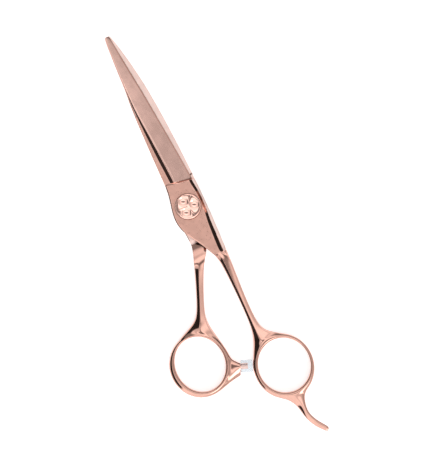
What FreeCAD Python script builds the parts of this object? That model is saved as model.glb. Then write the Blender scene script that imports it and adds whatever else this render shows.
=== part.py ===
"""Hair cutting shears, six-inch class, right-handed, as an assembly of separate solids.

Frame: +Z up, +Y from the pivot towards the tips, +X towards the finger ring.
The origin lies on the pivot axis, on the plane that the closed shears rest on.
At the pivot the finger half (the still blade) lies above the ride plane and the
thumb half below it; past the pivot both shanks grow to the full depth.
All lengths are in millimetres and all angles in degrees.
"""

import FreeCAD  # noqa: F401  FreeCAD has to come before Part
import Part

import math
import os

from FreeCAD import Vector

# ---- depth, measured along the pivot axis ----
RIDE_Z = 2.9  # the plane in which the blades slide on each other
BLADE_GAP = 0.10  # air between the two inner faces
FLAT_THICK = 2.15  # one half at its milled pivot flat
FLAT_SINK = 0.65  # how far the flat lies below the forged rib beside it
SHANK_DEPTH = 4.7  # a shank, both sides of the ride plane together
RING_DEPTH = 5.8  # a finger ring, both sides together

# ---- blades ----
TIP_Y = 69.2
HEEL_Y = 8.9  # where the ground face plunges into the pivot flat
EDGE_THICK = 0.16  # land left at the cutting edge
TIP_END = (1.25, 1.0)  # half width and length of the rounded tip
HOLLOW = 0.16  # depth of the hollow grind on the inner face
RIDE_LAND = 0.75  # width of the ride line left beside the hollow

# ---- finger ring and thumb ring, as (x, y) pairs ----
FINGER_HOLE = (7.2, -67.8)
THUMB_HOLE = (-20.75, -54.5)
FINGER_HOLE_HALF = (9.65, 10.2)
THUMB_HOLE_HALF = (9.3, 10.4)
FINGER_WALL = (1.45, 2.0)
THUMB_WALL = (2.1, 1.6)
FINGER_RING_SHIFT = (-0.2, -0.3)  # the ring's outside against its hole
THUMB_RING_SHIFT = (-0.15, -0.3)
RING_BEVEL = 0.5  # bevel of a ring's rims
WALL_BITE = 0.6  # how deep shank, tang and boss run into a ring's wall

# ---- pivot hardware ----
BOLT_HEAD_R = 4.0
BOLT_HEAD_THICK = 1.2
BOLT_HEAD_BEVEL = 0.25
WRENCH_HOLE_R = 0.45
WRENCH_HOLE_DEPTH = 0.6
WRENCH_PITCH_R = 2.4
KEY_R = 2.5
KEY_FLATS = 4.0
JOURNAL_R = 2.2
THREAD_R = 1.6
THREAD_FLATS = 2.6
RUNNING_FIT = 0.03  # radial play of journal in bush
HOUSE_FIT = 0.05  # radial play of a loose piece in its seat

INNER_TOP = RIDE_Z + BLADE_GAP / 2  # inner face of the finger half
INNER_LOW = RIDE_Z - BLADE_GAP / 2  # inner face of the thumb half
FLAT_TOP = RIDE_Z + FLAT_THICK + BLADE_GAP / 2

LAP_CLEAR = 0.25  # side gap between one half's flat and the other half's shank
RAMP_START = -12.4  # y where a shank starts to swell past the ride plane
RAMP_END = -18.6  # y where it has reached its full depth

RACE_IN_R = 2.5
RACE_OUT_R = 4.15
RACE_THICK = 0.3
BALL_R = 0.5
BALL_PITCH_R = 3.35
BALL_COUNT = 12
BALL_FACETS = 8  # round a ball's girth
CAGE_THICK = 0.4
CAGE_INSET = 0.1  # the cage inside the races' rims

BUSH_WALL = 0.5
BUSH_FLANGE_R = 3.4
BUSH_FLANGE_THICK = 0.2
WEB_THICK = 0.9  # metal left between a race seat and the seat on the outside

DIAL_R = 4.7
DIAL_HEIGHT = 2.0  # the dial above the pivot flat
DIAL_SEAT_GAP = 0.15
DIAL_CAVITY_R = 4.0
WELL_COUNT = 3
WELL_PITCH_R = 2.65
WELL_R = 1.85
WELL_DEPTH = 0.6
WELL_PHASE = 111
DIAL_RIM = 0.4  # rounding of the dial's upper rim
DIAL_SKIN = 0.3  # metal left above a click spring
WASHER_THICK = 0.15
WASHER_R = 3.7
SPRING_THICK = 0.15
SPRING_RISE = 0.2
SPRING_BORE_GAP = 0.15
DETENT_R = 3.6
DETENT_THICK = 0.3
CLICK_R = 0.4
CLICK_PITCH_R = 2.9
CLICK_COUNT = 3
CLICK_NOTCHES = 12
NOTCH_HALF = 0.14
NOTCH_DEPTH = 0.26
GROOVE_HALF = 0.42  # the click balls' groove in the detent plate
GROOVE_DEPTH = 0.2
CLICK_WIRE = 0.16  # side of the click springs' square wire
CLICK_TURNS = 2
CLICK_SIDES = 6  # straight lengths in one turn of a click spring
NUT_R = 1.95
NUT_SKIN = 0.1  # metal left between the nut and a finger well
THREAD_END_GAP = 0.05  # the bolt's end below the top of the nut

BOSS_DEPTH = 5.0
BOSS_FACE = (1.13, 3.07)  # how far the boss face reaches up and down from the bumper's middle
BUMPER_R = 2.35
BUMPER_LENGTH = 4.4
BUMPER_ROUND = 0.5
BUMPER_HEADING = -21.7  # direction of the bumper in plan, square to the boss face
BUMPER_MEETS = 156.2  # where round the finger ring the bumper stops it
BUMPER_STOP_GAP = 0.3
STUD_R = 0.8
STUD_IN_BOSS = 2.6
STUD_IN_BUMPER = 2.6


OVER = 1.0  # how far a cutting tool runs past what it cuts
FAR = 60.0  # well outside the shears


def plus(pair, other):
    return pair[0] + other[0], pair[1] + other[1]


def polar(radius, degrees):
    return radius * math.cos(math.radians(degrees)), radius * math.sin(math.radians(degrees))


def run(points):
    """One run of an outline: a straight line for two points, a smooth curve for more."""
    points = [Vector(x, y, 0) for x, y in points]
    if len(points) == 2:
        return Part.makeLine(points[0], points[1])
    curve = Part.BSplineCurve()
    curve.interpolate(points)
    return curve.toShape()


def outline(*runs):
    """A closed wire from runs that start where the last one ended."""
    return Part.Wire([run(points) for points in runs])


def prism(wire, z_low, z_high):
    face = Part.Face(wire)
    face.translate(Vector(0, 0, z_low))
    return face.extrude(Vector(0, 0, z_high - z_low))


def ellipse(centre, half, z=0.0):
    curve = Part.Ellipse(Vector(0, 0, 0), max(half), min(half))
    wire = Part.Wire([curve.toShape()])
    wire.rotate(Vector(0, 0, 0), Vector(0, 0, 1), 90 if half[1] > half[0] else 0)
    wire.translate(Vector(centre[0], centre[1], z))
    return wire


def ellipse_prism(centre, half, z_low, z_high):
    return prism(ellipse(centre, half), z_low, z_high)


def polygon(points):
    return Part.makePolygon(list(points) + [points[0]])


def section(y, points):
    """A closed cross-section at one y, from (x, z) pairs."""
    return polygon([Vector(x, y, z) for x, z in points])


def loft(sections, ruled=True):
    return Part.makeLoft(sections, True, ruled)


def cylinder(radius, z_low, z_high, centre=(0, 0)):
    return Part.makeCylinder(radius, z_high - z_low, Vector(centre[0], centre[1], z_low))


def tube(inner, outer, z_low, z_high):
    return cylinder(outer, z_low, z_high).cut(cylinder(inner, z_low - OVER, z_high + OVER))


def turned(profile):
    """A body turned about the pivot axis from (radius, z) pairs."""
    face = Part.Face(polygon([Vector(radius, 0, z) for radius, z in profile]))
    return face.revolve(Vector(0, 0, 0), Vector(0, 0, 1), 360)


def rounded(radius):
    """A rounding as two flats: (inset, drop) from where it leaves one face to where it meets the other."""
    share = 1 - math.sqrt(0.5)
    return [(radius, 0.0), (radius * share, radius * share), (0.0, radius)]


def flip(shape):
    """The same shape on the other side of the ride plane."""
    return shape.mirror(Vector(0, 0, RIDE_Z), Vector(0, 0, 1))


# ---- the blades ----
# One row per station from heel to tip: y, width of the flat strip along the spine, width of
# the bevel beside it, width of the top land, height of strip and of land above the ride plane.
GRIND = [
    (HEEL_Y, 2.1, 1.0, 1.0, 2.15, 2.75),
    (20.0, 1.6, 1.1, 1.1, 2.05, 2.65),
    (30.0, 1.1, 0.9, 1.0, 1.90, 2.40),
    (38.0, 0.8, 0.3, 1.1, 1.75, 2.10),
    (46.5, 0.25, 0.35, 0.9, 1.50, 1.80),
    (56.0, 0.15, 0.5, 0.7, 1.20, 1.45),
    (65.0, 0.12, 0.45, 0.6, 0.85, 1.05),
    (TIP_Y + 1, 0.10, 0.35, 0.4, 0.65, 0.80),
]
# x of spine and cutting edge at the same stations
FINGER_SPINE = (-4.50, -4.30, -4.00, -3.80, -2.95, -2.55, -1.95, -1.55)
FINGER_EDGE = (5.80, 5.00, 4.10, 3.45, 2.70, 1.60, 0.70, 0.25)
THUMB_SPINE = (6.60, 6.40, 6.00, 5.50, 4.75, 3.45, 1.65, 0.55)
THUMB_EDGE = (-3.90, -3.40, -3.10, -2.80, -2.20, -1.75, -1.30, -1.10)


def blade(spine, edge):
    """One ground blade above the ride plane, spine on the left, between two lines of x values."""
    sections = []
    hollows = []
    for row, spine_x, edge_x in zip(GRIND, spine, edge):
        y, strip, bevel, land, strip_z, land_z = row
        x = [spine_x + step for step in (0, strip, strip + bevel, strip + bevel + land)]
        top = [(x[0], INNER_TOP + strip_z - 0.25), (x[0] + 0.08, INNER_TOP + strip_z)]
        top += [(x[1], INNER_TOP + strip_z), (x[2], INNER_TOP + land_z), (x[3], INNER_TOP + land_z)]
        top += [(edge_x - 0.3, INNER_TOP + EDGE_THICK + 0.2), (edge_x, INNER_TOP + EDGE_THICK)]
        sections.append(section(y, [(spine_x, INNER_TOP)] + top + [(edge_x, INNER_TOP)]))
        hollows.append(hollow_section(y, spine_x + RIDE_LAND, edge_x - RIDE_LAND * 0.6))
    body = loft(sections)
    return body.cut(loft(hollows[:-1]))


def hollow_section(y, x_a, x_b):
    """The segment of a circle that the hollow grind takes off the inner face."""
    ends = Vector(x_a, y, INNER_TOP), Vector(x_b, y, INNER_TOP)
    share = min(1.0, abs(x_b - x_a) / 7.0)
    middle = Vector((x_a + x_b) / 2, y, INNER_TOP + HOLLOW * share)
    arc = Part.Arc(ends[0], middle, ends[1]).toShape()
    drop = Vector(0, 0, -1)
    below = [ends[1], ends[1] + drop, ends[0] + drop, ends[0]]
    return Part.Wire([arc] + [Part.makeLine(a, b) for a, b in zip(below, below[1:])])


def tip_cutter(spine, edge):
    """Everything past the rounded tip of one blade."""
    middle = ((spine[-1] + edge[-1]) / 2, TIP_Y - TIP_END[1])
    block = Part.makeBox(FAR, FAR, FAR, Vector(-FAR / 2, middle[1], -FAR / 2))
    return block.cut(ellipse_prism(middle, TIP_END, -FAR, FAR))


# ---- pivot flat and shank outlines, in plan ----
FLAT_SPINE_SIDE = [(-4.5, HEEL_Y), (-4.65, 7.0), (-5.25, 3.8), (-6.1, 0.2), (-6.4, -3.6), (-5.35, -8.0),
                   (-3.15, -12.0), (-0.9, -16.0), (1.1, -20.0)]
FINGER_LEFT = [(1.1, -20.0), (1.95, -23.5), (2.2, -29.0), (2.3, -40.0), (2.05, -50.0), (0.9, -54.5),
               (-1.75, -60.3)]
FINGER_RIGHT = [(11.5, -57.0), (8.7, -55.0), (6.2, -53.0), (5.1, -50.0), (4.9, -46.0), (5.3, -36.0),
                (6.1, -20.0), (6.5, -10.0), (6.7, 2.0), (6.6, HEEL_Y)]
THUMB_FLAT_SIDE = [(-2.9, -20.0), (-0.95, -17.85), (1.15, -15.4), (3.15, -12.0), (5.3, -8.0), (6.3, -3.6),
                   (6.55, 0.2), (6.65, 4.5), (6.6, HEEL_Y)]
THUMB_LEFT = [(-3.9, HEEL_Y), (-4.5, 5.0), (-5.5, 0.0), (-5.75, -4.0), (-5.2, -9.0), (-4.95, -13.0),
              (-5.3, -16.5), (-7.0, -20.0), (-10.9, -30.0), (-14.1, -37.4), (-15.6, -39.4), (-18.7, -40.6),
              (-24.5, -42.9)]
THUMB_RIGHT = [(-9.6, -53.5), (-10.35, -48.5), (-11.6, -42.5), (-10.9, -37.7), (-8.5, -32.0), (-4.2, -22.0),
               (-2.9, -20.0)]
# the tang's centre line with its half width and half depth
TANG_PATH = [(7.2, -79.2, 2.6, 2.3), (6.6, -82.4, 1.5, 1.85), (6.6, -86.8, 1.1, 1.4), (8.1, -91.8, 1.0, 1.1),
             (11.2, -95.8, 0.85, 0.9), (11.75, -96.3, 0.5, 0.6)]
# the bumper boss: its inner run down from the thumb ring, and its lower run back to the ring
BOSS_RIGHT = [(-9.35, -53.8), (-8.95, -57.0)]
BOSS_LOWER = [(-13.0, -64.5), (-19.5, -66.3)]


def ramp_cutter():
    """What lies on the far side of the ride plane, up to the swell of the shank."""
    full = INNER_TOP - SHANK_DEPTH / 2
    swell = [(RAMP_START, INNER_TOP), (RAMP_START - 1.6, INNER_TOP - 0.35), (RAMP_END + 1.4, full + 0.3),
             (RAMP_END, full)]
    wire = outline([(FAR, INNER_TOP), swell[0]], swell, [swell[-1], (RAMP_END, -FAR)], [(RAMP_END, -FAR), (FAR, -FAR)],
                   [(FAR, -FAR), (FAR, INNER_TOP)])
    face = Part.Face(wire)
    face.rotate(Vector(0, 0, 0), Vector(1, 1, 1), 120)
    face.translate(Vector(-FAR, 0, 0))
    return face.extrude(Vector(2 * FAR, 0, 0))


def oval_barrel(centre, half, flare):
    """An oval drum as deep as a ring, whose two ends narrow (-1) or widen (1) over the rims' bevel."""
    low = RIDE_Z - RING_DEPTH / 2
    high = RIDE_Z + RING_DEPTH / 2
    change = flare * RING_BEVEL
    levels = [(low, change), (low + RING_BEVEL, 0), (high - RING_BEVEL, 0), (high, change)]
    return loft([ellipse(centre, plus(half, (grown_by, grown_by)), z) for z, grown_by in levels])


def ring(hole_centre, hole_half, wall, shift):
    """A finger ring with bevelled rims."""
    outside = oval_barrel(plus(hole_centre, shift), plus(hole_half, wall), -1)
    return outside.cut(oval_barrel(hole_centre, hole_half, 1))


def inside_wall(hole_centre, hole_half):
    """What keeps a shank, tang or boss out of a ring's hole: the hole, grown into the wall."""
    return ellipse_prism(hole_centre, plus(hole_half, (WALL_BITE, WALL_BITE)), -FAR, FAR)


def side_view(y_points):
    """A slab across the shears whose depth follows (y, half depth) points."""
    top = [Vector(-FAR, y, RIDE_Z + half) for y, half in y_points]
    low = [Vector(-FAR, y, RIDE_Z - half) for y, half in reversed(y_points)]
    return Part.Face(polygon(top + low)).extrude(Vector(2 * FAR, 0, 0))


def shank_facets(stations, turn=0.0):
    """Prisms that take the four long corners off a shank, so that it has a narrow crown."""
    tools = []
    for side in (-1, 1):
        for up in (-1, 1):
            sections = []
            for y, left, right, crown_left, crown_right, half in stations:
                outer = left if side < 0 else right
                crown = crown_left if side < 0 else crown_right
                high = RIDE_Z + up * half
                waist = RIDE_Z + up * half * 0.35
                over = high + up * 2.0
                points = [(outer, waist), (crown, high), (crown, over), (outer + side * 3, over),
                          (outer + side * 3, waist)]
                sections.append(section(y, points))
            tools.append(loft(sections))
    for tool in tools:
        tool.rotate(Vector(0, 0, 0), Vector(0, 0, 1), turn)
    return tools


# y, left and right side, left and right end of the crown, half depth at the crown
FINGER_CROWN = [
    (-21.0, 1.4, 6.05, 2.7, 4.9, 2.62),
    (-30.0, 2.2, 5.65, 2.95, 4.2, 2.40),
    (-40.0, 2.3, 5.1, 3.0, 3.9, 2.34),
    (-49.0, 2.1, 4.95, 2.95, 3.75, 2.44),
    (-54.5, 0.9, 8.0, 2.6, 4.6, 2.62),
]
FINGER_SIDE = [(-9.0, 2.85), (-20.0, 2.65), (-30.0, 2.40), (-45.0, 2.36), (-56.0, 2.70), (-66.0, 2.85)]
# the same for the thumb shank, in a frame turned so that the shank runs along -Y
THUMB_HEADING = -22.4
THUMB_CROWN = [
    (-21.5, 0.95, 4.8, 2.1, 4.2, 2.62),
    (-31.0, 1.35, 4.4, 2.5, 3.9, 2.42),
    (-38.5, 1.25, 4.45, 2.5, 3.9, 2.42),
    (-43.5, -2.5, 4.9, 2.4, 3.8, 2.62),
]
THUMB_SIDE = [(-9.0, 2.85), (-19.0, 2.65), (-28.0, 2.42), (-35.0, 2.42), (-43.0, 2.70), (-52.0, 2.85)]

# y, foot and top of the wall of the rib that is left beside each milled flat
FINGER_RIB = [(HEEL_Y + 0.6, 4.9, 5.45), (-2.0, 4.8, 5.4), (-10.0, 4.0, 5.3), (-17.0, 3.45, 5.1)]
THUMB_RIB = [(HEEL_Y + 0.6, 4.15, 4.4), (-2.0, 4.2, 4.75), (-10.0, 3.7, 4.5), (-15.5, 3.2, 4.3)]


def grown(points, clear):
    """The same curve, moved sideways by the clearance, away from the pivot."""
    moved = []
    for index, (x, y) in enumerate(points):
        before = points[max(index - 1, 0)]
        after = points[min(index + 1, len(points) - 1)]
        along_x = after[0] - before[0]
        along_y = after[1] - before[1]
        length = math.hypot(along_x, along_y)
        off_x = along_y / length
        off_y = -along_x / length
        if off_x * x + off_y * y < 0:
            off_x, off_y = -off_x, -off_y
        moved.append((x + off_x * clear, y + off_y * clear))
    return moved


def lap_cutter(spine_side, x_side):
    """Room below the ride plane for the other half's pivot flat, with side clearance."""
    return prism(flat_outline(grown(spine_side, LAP_CLEAR), x_side), -FAR, INNER_TOP)


def flat_outline(spine_side, x_side):
    """The plan of one pivot flat, closed across its upper end and along its other side."""
    start, end = spine_side[0], spine_side[-1]
    corners = [end, (x_side, end[1]), (x_side, start[1]), start]
    return outline(spine_side, *zip(corners, corners[1:]))


def flat_pocket(rows, run_out_y, x_sign):
    """What milling takes off above a pivot flat, up to the wall of its rib."""
    high = FLAT_TOP + FLAT_SINK + OVER
    over = OVER / FLAT_SINK
    far = -FAR * x_sign
    sections = []
    for y, foot, rim in rows:
        lean = (rim - foot) * over
        points = [(far, FLAT_TOP), (x_sign * foot, FLAT_TOP), (x_sign * (rim + lean), high), (far, high)]
        sections.append(section(y, points))
    foot = x_sign * (rows[-1][1] - 0.8)
    rim_z = FLAT_TOP + FLAT_SINK
    sections.append(section(run_out_y, [(far, rim_z), (foot, rim_z), (foot + x_sign, high), (far, high)]))
    return loft(sections)


RACE_TOP = RIDE_Z + BALL_R + RACE_THICK  # outer face of the finger half's race
RACE_LOW = RIDE_Z - BALL_R - RACE_THICK
SEAT_FLOOR = RACE_TOP + WEB_THICK  # floor of the dial's seat in the finger half
HEAD_FLOOR = RACE_LOW - WEB_THICK  # floor of the bolt head's seat in the thumb half
HEAD_LOW = HEAD_FLOOR - BOLT_HEAD_THICK
BUSH_R = JOURNAL_R + RUNNING_FIT + BUSH_WALL


def pick(shape):
    """The one solid of a boolean's result."""
    if len(shape.Solids) != 1:
        raise ValueError(f"{len(shape.Solids)} solids where one is due")
    return shape.Solids[0]


def shank_body(plan, lap, pocket, sides, crown, turn=0.0):
    """Flat and shank of one half above the ride plane, with its lap, pocket and facets."""
    near = [(20.0, FLAT_THICK + FLAT_SINK), (-5.0, FLAT_THICK + FLAT_SINK)]
    body = prism(plan, -FAR, FAR).common(side_view(near + sides))
    body = body.cut(ramp_cutter()).cut(lap).cut(pocket)
    for tool in shank_facets(crown, turn):
        body = body.cut(tool)
    return body


def oval_section(centre, heading, half_width, half_depth):
    """An upright oval wire across a horizontal heading."""
    curve = Part.Ellipse(Vector(0, 0, 0), max(half_width, half_depth), min(half_width, half_depth))
    wire = Part.Wire([curve.toShape()])
    if half_depth > half_width:
        wire.rotate(Vector(0, 0, 0), Vector(0, 0, 1), 90)
    wire.rotate(Vector(0, 0, 0), Vector(1, 0, 0), 90)
    wire.rotate(Vector(0, 0, 0), Vector(0, 0, 1), heading)
    wire.translate(centre)
    return wire


def tang():
    """The finger rest: a slim curved horn of oval section with a blunt round end."""
    path = Part.BSplineCurve()
    path.interpolate([Vector(x, y, RIDE_Z) for x, y, _, _ in TANG_PATH])
    sections = []
    for x, y, half_width, half_depth in TANG_PATH:
        way = path.tangent(path.parameter(Vector(x, y, RIDE_Z)))[0]
        heading = math.degrees(math.atan2(way.y, way.x)) + 90
        sections.append(oval_section(Vector(x, y, RIDE_Z), heading, half_width, half_depth))
    return loft(sections)


def bored(body, *seats):
    for seat in seats:
        body = body.cut(seat)
    return pick(body)


def finger_half():
    crown_end = FINGER_LEFT[-1]
    inside = (7.0, -63.0)
    plan = outline(FLAT_SPINE_SIDE, FINGER_LEFT, [crown_end, inside], [inside, FINGER_RIGHT[0]], FINGER_RIGHT,
                   [FINGER_RIGHT[-1], FLAT_SPINE_SIDE[0]])
    lap = lap_cutter(THUMB_FLAT_SIDE, -6.0)
    body = shank_body(plan, lap, flat_pocket(FINGER_RIB, -21.5, 1), FINGER_SIDE, FINGER_CROWN)
    within_wall = inside_wall(FINGER_HOLE, FINGER_HOLE_HALF)
    body = body.cut(within_wall)
    horn = tang().cut(within_wall)
    ground = blade(FINGER_SPINE, FINGER_EDGE).cut(tip_cutter(FINGER_SPINE, FINGER_EDGE))
    body = body.fuse(ground).fuse(ring(FINGER_HOLE, FINGER_HOLE_HALF, FINGER_WALL, FINGER_RING_SHIFT)).fuse(horn)
    return bored(body, cylinder(RACE_OUT_R + HOUSE_FIT, INNER_TOP - OVER, RACE_TOP),
                 cylinder(BUSH_R, INNER_TOP, FAR), cylinder(DIAL_R + DIAL_SEAT_GAP, SEAT_FLOOR, FAR))


def bumper_seat():
    """Middle of the bumper on the boss face, back from where it meets the finger ring."""
    half = plus(FINGER_HOLE_HALF, FINGER_WALL)
    around = math.radians(BUMPER_MEETS)
    meets = plus(plus(FINGER_HOLE, FINGER_RING_SHIFT), (half[0] * math.cos(around), half[1] * math.sin(around)))
    return plus(meets, polar(-BUMPER_LENGTH - BUMPER_STOP_GAP, BUMPER_HEADING))


def bumper_rod(radius, start, length):
    """A round bar on the bumper's axis, from so far past the boss face."""
    x, y = plus(bumper_seat(), polar(start, BUMPER_HEADING))
    return Part.makeCylinder(radius, length, Vector(x, y, RIDE_Z), Vector(*polar(1, BUMPER_HEADING), 0))


def boss():
    """The corner of the thumb ring that carries the bumper."""
    upper = plus(bumper_seat(), polar(BOSS_FACE[0], BUMPER_HEADING + 90))
    lower = plus(bumper_seat(), polar(BOSS_FACE[1], BUMPER_HEADING - 90))
    plan = outline(BOSS_RIGHT + [upper], [upper, lower], [lower] + BOSS_LOWER, [BOSS_LOWER[-1], THUMB_HOLE],
                   [THUMB_HOLE, BOSS_RIGHT[0]])
    return prism(plan, RIDE_Z - BOSS_DEPTH / 2, RIDE_Z + BOSS_DEPTH / 2)


def thumb_half():
    inside = (-20.75, -52.0)
    plan = outline(THUMB_LEFT, [THUMB_LEFT[-1], inside], [inside, THUMB_RIGHT[0]], THUMB_RIGHT, THUMB_FLAT_SIDE,
                   [THUMB_FLAT_SIDE[-1], THUMB_LEFT[0]])
    lap = lap_cutter(FLAT_SPINE_SIDE, 6.2)
    body = shank_body(plan, lap, flat_pocket(THUMB_RIB, -19.0, -1), THUMB_SIDE, THUMB_CROWN, THUMB_HEADING)
    within_wall = inside_wall(THUMB_HOLE, THUMB_HOLE_HALF)
    body = body.cut(within_wall)
    spine = [-x for x in THUMB_SPINE]
    edge = [-x for x in THUMB_EDGE]
    ground = blade(spine, edge).cut(tip_cutter(spine, edge)).mirror(Vector(0, 0, 0), Vector(1, 0, 0))
    body = body.fuse(ground).fuse(ring(THUMB_HOLE, THUMB_HOLE_HALF, THUMB_WALL, THUMB_RING_SHIFT))
    body = body.fuse(boss().cut(within_wall))
    body = flip(body)
    key = flatted(KEY_R, KEY_FLATS, HEAD_FLOOR - OVER, RACE_LOW + OVER)
    return bored(body, cylinder(RACE_OUT_R + HOUSE_FIT, RACE_LOW, INNER_LOW + OVER), key,
                 cylinder(BOLT_HEAD_R + HOUSE_FIT, -FAR, HEAD_FLOOR),
                 bumper_rod(STUD_R, -STUD_IN_BOSS, STUD_IN_BOSS + BUMPER_LENGTH))


# ---- pivot hardware, from the back to the dial ----
BUSH_TOP = SEAT_FLOOR + BUSH_FLANGE_THICK
WASHER_TOP = BUSH_TOP + WASHER_THICK
SPRING_TOP = WASHER_TOP + SPRING_THICK + SPRING_RISE
DETENT_TOP = SPRING_TOP + DETENT_THICK
CAVITY_TOP = DETENT_TOP + HOUSE_FIT
DIAL_TOP = FLAT_TOP + DIAL_HEIGHT
DIAL_LOW = SEAT_FLOOR + DIAL_SEAT_GAP
WELL_FLOOR = DIAL_TOP - WELL_DEPTH
NUT_TOP = WELL_FLOOR - NUT_SKIN
CLICK_Z = DETENT_TOP - GROOVE_DEPTH + CLICK_R


def flatted(radius, across, z_low, z_high):
    """A round bar with two flats."""
    bar = cylinder(radius, z_low, z_high)
    return bar.common(Part.makeBox(across, 4 * radius, z_high - z_low, Vector(-across / 2, -2 * radius, z_low)))


def pivot_bolt():
    head = turned([(0, HEAD_LOW), (BOLT_HEAD_R - BOLT_HEAD_BEVEL, HEAD_LOW),
                   (BOLT_HEAD_R, HEAD_LOW + BOLT_HEAD_BEVEL), (BOLT_HEAD_R, HEAD_FLOOR), (0, HEAD_FLOOR)])
    wrench_holes = [cylinder(WRENCH_HOLE_R, HEAD_LOW - OVER, HEAD_LOW + WRENCH_HOLE_DEPTH, (x, 0))
                    for x in (-WRENCH_PITCH_R, WRENCH_PITCH_R)]
    key = flatted(KEY_R - HOUSE_FIT, KEY_FLATS - 2 * HOUSE_FIT, HEAD_FLOOR, RACE_LOW)
    journal = cylinder(JOURNAL_R, RACE_LOW, BUSH_TOP)
    end = flatted(THREAD_R, THREAD_FLATS, BUSH_TOP, NUT_TOP - THREAD_END_GAP)
    return pick(head.cut(wrench_holes).fuse([key, journal, end]).removeSplitter())


def race(z_low):
    return tube(RACE_IN_R, RACE_OUT_R, z_low, z_low + RACE_THICK)


def places(count, radius, phase=0.0):
    """Evenly spread (x, y) places on a circle about the pivot axis."""
    return [polar(radius, phase + 360 * index / count) for index in range(count)]


def ball(radius, x, y, z):
    """A bearing ball in flat facets, so that the many balls stay light."""
    sections = [Part.Vertex(x, y, z - radius)]
    for latitude in (-45, 0, 45):
        girth, height = polar(radius, latitude)
        corners = [Vector(*plus((x, y), polar(girth, 360 * side / BALL_FACETS)), z + height)
                   for side in range(BALL_FACETS)]
        sections.append(polygon(corners))
    sections.append(Part.Vertex(x, y, z + radius))
    return loft(sections)


def bearing_balls():
    return Part.makeCompound([ball(BALL_R, x, y, RIDE_Z) for x, y in places(BALL_COUNT, BALL_PITCH_R)])


def sided_prism(sides, inner_radius, centre, z_low, z_high):
    """An upright prism round a circle of the inner radius."""
    radius = inner_radius / math.cos(math.pi / sides)
    corners = [plus(centre, polar(radius, 360 * (index + 0.5) / sides)) for index in range(sides)]
    return prism(polygon([Vector(x, y, 0) for x, y in corners]), z_low, z_high)


def bearing_cage():
    """A flat ring with one six-sided pocket for each ball."""
    low = RIDE_Z - CAGE_THICK / 2
    high = RIDE_Z + CAGE_THICK / 2
    body = tube(RACE_IN_R + CAGE_INSET, RACE_OUT_R - CAGE_INSET, low, high)
    for place in places(BALL_COUNT, BALL_PITCH_R):
        body = body.cut(sided_prism(6, BALL_R + RUNNING_FIT, place, low - OVER, high + OVER))
    return pick(body)


def pivot_bush():
    body = tube(JOURNAL_R + RUNNING_FIT, BUSH_R, RACE_TOP, SEAT_FLOOR)
    flange = tube(JOURNAL_R + RUNNING_FIT, BUSH_FLANGE_R, SEAT_FLOOR, BUSH_TOP)
    return pick(body.fuse(flange).removeSplitter())


def dial_washer():
    return tube(JOURNAL_R + RUNNING_FIT, WASHER_R, BUSH_TOP, WASHER_TOP)


def tension_spring():
    """A conical spring washer, wide side down on the washer."""
    inner = THREAD_R + SPRING_BORE_GAP
    outer = BUSH_FLANGE_R
    return turned([(outer, WASHER_TOP), (outer, WASHER_TOP + SPRING_THICK), (inner, SPRING_TOP),
                   (inner, SPRING_TOP - SPRING_THICK)])


def detent_plate():
    """Keyed to the bolt's end; the click balls run in its groove and drop into its notches."""
    body = cylinder(DETENT_R, SPRING_TOP, DETENT_TOP)
    body = body.cut(flatted(THREAD_R + HOUSE_FIT, THREAD_FLATS + 2 * HOUSE_FIT, SPRING_TOP - OVER, DETENT_TOP + OVER))
    floor = DETENT_TOP - GROOVE_DEPTH
    body = body.cut(tube(CLICK_PITCH_R - GROOVE_HALF, CLICK_PITCH_R + GROOVE_HALF, floor, DETENT_TOP + OVER))
    for place in places(CLICK_NOTCHES, CLICK_PITCH_R):
        body = body.cut(sided_prism(4, NOTCH_HALF, place, DETENT_TOP - NOTCH_DEPTH, DETENT_TOP))
    return pick(body)


def click_places():
    return places(CLICK_COUNT, CLICK_PITCH_R, WELL_PHASE + 180 / WELL_COUNT)


def click_balls():
    return Part.makeCompound([ball(CLICK_R, x, y, CLICK_Z) for x, y in click_places()])


def click_springs():
    """Small coil springs of square wire that press the click balls down."""
    low = CLICK_Z + CLICK_R
    coil_r = CLICK_R - HOUSE_FIT - CLICK_WIRE / 2
    rise = DIAL_TOP - DIAL_SKIN - low - CLICK_WIRE
    steps = CLICK_SIDES * CLICK_TURNS
    springs = []
    for x, y in click_places():
        wires = []
        for step in range(steps + 1):
            z = low + rise * step / steps
            turn = 360 * step / CLICK_SIDES
            corners = [(coil_r + out, z + up) for out, up in ((-CLICK_WIRE / 2, 0), (CLICK_WIRE / 2, 0),
                                                              (CLICK_WIRE / 2, CLICK_WIRE), (-CLICK_WIRE / 2, CLICK_WIRE))]
            wires.append(polygon([Vector(*plus((x, y), polar(radius, turn)), level) for radius, level in corners]))
        springs.append(loft(wires))
    return Part.makeCompound(springs)


def tension_dial():
    """The click dial: a disc with a rounded rim, three scooped finger wells and a cavity below."""
    rim = [(DIAL_R - inset, DIAL_TOP - drop) for inset, drop in rounded(DIAL_RIM)]
    body = turned([(0, DIAL_TOP)] + rim + [(DIAL_R, DIAL_LOW), (0, DIAL_LOW)])
    body = body.cut(cylinder(DIAL_CAVITY_R, DIAL_LOW - OVER, CAVITY_TOP))
    body = body.cut(cylinder(NUT_R, CAVITY_TOP - OVER, NUT_TOP))
    dish = turned([(0, 0), (WELL_R / 3, 0)] + [(WELL_R * share, WELL_DEPTH * share ** 2) for share in (2 / 3, 1, 4 / 3)]
                  + [(0, WELL_DEPTH * 16 / 9)])
    for x, y in places(WELL_COUNT, WELL_PITCH_R, WELL_PHASE):
        scoop = dish.copy()
        scoop.translate(Vector(x, y, WELL_FLOOR))
        body = body.cut(scoop)
    for place in click_places():
        body = body.cut(cylinder(CLICK_R + HOUSE_FIT, CAVITY_TOP - OVER, DIAL_TOP - DIAL_SKIN, place))
    return pick(body)


def dial_nut():
    return tube(THREAD_R + RUNNING_FIT, NUT_R, CAVITY_TOP, NUT_TOP)


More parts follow.
